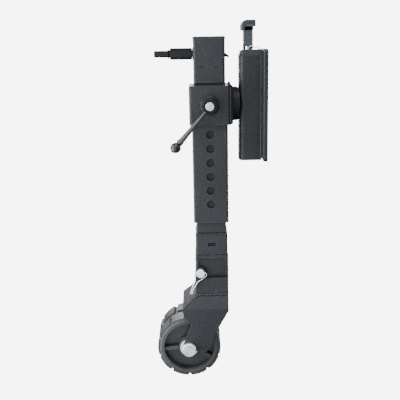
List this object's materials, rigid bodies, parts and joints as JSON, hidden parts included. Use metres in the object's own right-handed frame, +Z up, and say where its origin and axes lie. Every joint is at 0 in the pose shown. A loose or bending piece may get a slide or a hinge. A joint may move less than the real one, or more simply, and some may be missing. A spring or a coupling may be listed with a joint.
{
  "type": "side-mount swivel trailer jack",
  "caption": "Square telescoping trailer jack with a drill-driven bevel head, height collar with lever lock, side swivel bracket and an offset fork on two moulded wheels.",
  "frame": {"origin": "centre of the mounting plate's outer face, on the swivel axis", "axes": "+X out of the plate towards the trailer's frame, +Z up along the jack in its working position, -Y towards the lock lever"},
  "size_m": [0.225, 0.166, 0.7269],
  "materials": {
    "powder_coat": "fine-textured charcoal powder coat",
    "zinc": "bright zinc plate",
    "black_oxide": "satin black",
    "machined_steel": "turned and lightly oiled",
    "bronze": "satin",
    "nylon": "matte",
    "knob_plastic": "gloss black",
    "grip_plastic": "fine-grained satin",
    "wheel_plastic": "moulded, satin",
    "wheel_tread": "moulded, worn matte"
  },
  "bodies": {
    "bracket": {"mounting_plate": "powder_coat", "bracket_channel": "powder_coat", "channel_top_cap": "powder_coat", "channel_bottom_cap": "powder_coat", "swivel_bush": "nylon", "shaft_web": "black_oxide", "plunger_guide": "black_oxide", "guide_keeper": "black_oxide", "plunger_spring": "machined_steel"},
    "plunger": {"lock_plunger": "machined_steel", "pull_stem": "grip_plastic", "t_grip": "grip_plastic"},
    "collar": {"mounting_collar": "powder_coat", "upper_liner": "nylon", "lower_liner": "nylon", "lock_boss": "powder_coat", "swivel_flange": "powder_coat", "swivel_hub": "black_oxide", "swivel_shaft": "machined_steel", "shaft_ring": "black_oxide"},
    "lock_lever": {"lever_nut": "black_oxide", "lever_arm": "machined_steel", "lever_rod_end": "machined_steel", "lever_knob": "knob_plastic"},
    "lock_pin": {"lock_pin": "zinc"},
    "jack_tube": {"outer_tube": "powder_coat", "head_housing": "powder_coat", "head_cap": "powder_coat", "block_screws": "black_oxide", "bearing_block": "machined_steel", "thrust_bearing": "machined_steel", "input_bush": "black_oxide", "far_bush": "bronze", "grease_nipple": "black_oxide", "leg_guide": "nylon"},
    "input_drive": {"input_shaft": "machined_steel", "bevel_pinion": "machined_steel"},
    "screw_drive": {"lead_screw": "machined_steel", "bevel_gear": "machined_steel"},
    "drill_adapter": {"drill_adapter": "black_oxide"},
    "leg": {"inner_leg": "powder_coat", "drive_nut": "bronze", "leg_sleeve": "powder_coat", "leg_key": "black_oxide", "fork_socket": "powder_coat", "front_fork_plate": "powder_coat", "back_fork_plate": "powder_coat", "fork_left_wall": "powder_coat", "fork_right_wall": "powder_coat", "axle": "zinc", "axle_caps": "zinc", "axle_washers": "zinc"},
    "hitch_pin": {"hitch_pin": "zinc"},
    "pin_clip": {"pin_clip": "zinc"},
    "front_wheel": {"front_wheel_tyre": "wheel_tread", "front_wheel_rim": "wheel_plastic", "front_wheel_bearings": "bronze"},
    "back_wheel": {"back_wheel_tyre": "wheel_tread", "back_wheel_rim": "wheel_plastic", "back_wheel_bearings": "bronze"}
  },
  "joints": [
    {"name": "swivel", "type": "hinge", "parent": "bracket", "child": "collar", "pos_m": [-0.05, 0, 0], "axis": [1, 0, 0], "range_deg": [-90, 90]},
    {"name": "plunger_drop", "type": "slide", "parent": "bracket", "child": "plunger", "axis": [0, 0, -1], "range_m": [0, 0.0062], "deforming": ["plunger_spring"]},
    {"name": "tube_height", "type": "slide", "parent": "collar", "child": "jack_tube", "axis": [0, 0, 1], "range_m": [0, 0.168]},
    {"name": "lock_lever_turn", "type": "hinge", "parent": "collar", "child": "lock_lever", "pos_m": [-0.109, -0.052, 0], "axis": [0, 1, 0], "range_deg": [0, 120]},
    {"name": "lock_pin_slide", "type": "slide", "parent": "collar", "child": "lock_pin", "axis": [0, 1, 0], "range_m": [0, 0.0047]},
    {"name": "screw_turn", "type": "hinge", "parent": "jack_tube", "child": "screw_drive", "pos_m": [-0.109, 0, 0], "axis": [0, 0, 1], "range_deg": [0, 13681]},
    {"name": "leg_slide", "type": "slide", "parent": "jack_tube", "child": "leg", "axis": [0, 0, -1], "range_m": [0, 0.19]},
    {"name": "input_turn", "type": "hinge", "parent": "jack_tube", "child": "input_drive", "pos_m": [-0.109, 0, 0.097], "axis": [1, 0, 0], "range_deg": [-27362, 1]},
    {"name": "adapter_pull", "type": "slide", "parent": "input_drive", "child": "drill_adapter", "axis": [-1, 0, 0], "range_m": [0, 0.03]},
    {"name": "hitch_pin_pull", "type": "slide", "parent": "leg", "child": "hitch_pin", "axis": [0, -1, 0], "range_m": [0, 0.085]},
    {"name": "clip_swing", "type": "hinge", "parent": "hitch_pin", "child": "pin_clip", "pos_m": [-0.1325, -0.0425, -0.339], "axis": [-1, 0, 0], "range_deg": [0, 110]},
    {"name": "front_wheel_spin", "type": "hinge", "parent": "leg", "child": "front_wheel", "pos_m": [-0.159, -0.0242, -0.5025], "axis": [0, 1, 0], "continuous": true},
    {"name": "back_wheel_spin", "type": "hinge", "parent": "leg", "child": "back_wheel", "pos_m": [-0.159, 0.0242, -0.5025], "axis": [0, 1, 0], "continuous": true}
  ],
  "couplings": [
    {"joint": "lock_pin_slide", "follows": "lock_lever_turn", "m_per_rad": 0.00224},
    {"joint": "screw_turn", "follows": "leg_slide", "rad_per_m": 1256.6},
    {"joint": "input_turn", "follows": "leg_slide", "rad_per_m": -2513.3}
  ]
}
